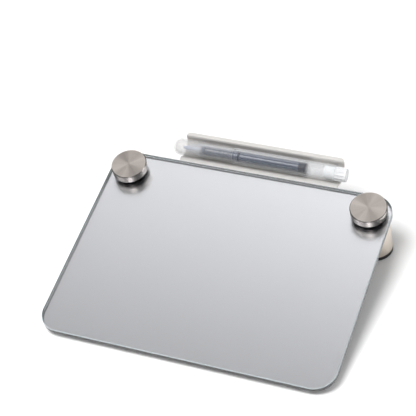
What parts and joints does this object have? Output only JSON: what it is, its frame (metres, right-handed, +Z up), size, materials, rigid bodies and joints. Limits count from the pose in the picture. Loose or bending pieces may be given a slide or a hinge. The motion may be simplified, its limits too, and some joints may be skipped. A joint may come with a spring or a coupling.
{
  "type": "desk whiteboard easel",
  "caption": "Small tilted magnetic glass writing board on two round metal legs held by screw caps, with a rear tray and a capped marker.",
  "frame": {"origin": "on the desk, under the middle of the bounding box", "axes": "+X to the right along the board's width, +Y to the back, up the slope of the board, +Z up from the desk"},
  "size_m": [0.203, 0.1716, 0.0491],
  "materials": {
    "clear_glass": "polished, ground edges",
    "silver_film": "satin silver",
    "steel_sheet": "galvanised",
    "nylon": "natural",
    "spun_steel": "spun face, polished side",
    "stud_steel": "zinc plated",
    "dark_ring": "smooth",
    "black_rubber": "matte",
    "champagne_metal": "brushed along its length",
    "tray_metal": "satin anodised",
    "tape": "foam",
    "frosted_plastic": "frosted, see-through",
    "nib_felt": "pressed felt",
    "white_plastic": "moulded",
    "ink_fibre": "soaked in dark ink"
  },
  "bodies": {
    "board": {"glass_panel": "clear_glass", "silver_film": "silver_film", "steel_sheet": "steel_sheet", "left_hole_sleeve": "nylon", "right_hole_sleeve": "nylon", "left_leg_ring": "black_rubber", "right_leg_ring": "black_rubber", "left_leg": "champagne_metal", "right_leg": "champagne_metal", "left_foot_pad": "black_rubber", "right_foot_pad": "black_rubber", "left_front_bumper": "black_rubber", "right_front_bumper": "black_rubber", "pen_tray": "tray_metal", "tray_tape": "tape"},
    "left_cap_ring": {"left_cap_ring": "dark_ring"},
    "left_screw_cap": {"left_screw_cap": "spun_steel", "left_stud": "stud_steel"},
    "right_cap_ring": {"right_cap_ring": "dark_ring"},
    "right_screw_cap": {"right_screw_cap": "spun_steel", "right_stud": "stud_steel"},
    "marker": {"marker_barrel": "frosted_plastic", "marker_nib": "nib_felt", "marker_nib_holder": "white_plastic", "marker_ink_reservoir": "ink_fibre", "marker_end_plug": "frosted_plastic"},
    "marker_cap": {"marker_cap": "frosted_plastic"}
  },
  "joints": [
    {"name": "left_cap_lift", "type": "slide", "parent": "board", "child": "left_cap_ring", "axis": [0, -0.2334, 0.9724], "range_m": [0, 0.0075]},
    {"name": "left_cap_turn", "type": "hinge", "parent": "left_cap_ring", "child": "left_screw_cap", "pos_m": [-0.0865, 0.04639, 0.03882], "axis": [0, -0.2334, 0.9724], "range_deg": [0, 2160]},
    {"name": "right_cap_lift", "type": "slide", "parent": "board", "child": "right_cap_ring", "axis": [0, -0.2334, 0.9724], "range_m": [0, 0.0075]},
    {"name": "right_cap_turn", "type": "hinge", "parent": "right_cap_ring", "child": "right_screw_cap", "pos_m": [0.0865, 0.04639, 0.03882], "axis": [0, -0.2334, 0.9724], "range_deg": [0, 2160]},
    {"name": "marker_lift", "type": "slide", "parent": "board", "child": "marker", "axis": [0, 0, 1], "range_m": [0, 0.08]},
    {"name": "marker_cap_pull", "type": "slide", "parent": "marker", "child": "marker_cap", "axis": [-1, 0, 0], "range_m": [0, 0.045]}
  ],
  "couplings": [
    {"joint": "left_cap_turn", "follows": "left_cap_lift", "rad_per_m": 5026.5},
    {"joint": "right_cap_turn", "follows": "right_cap_lift", "rad_per_m": 5026.5}
  ]
}
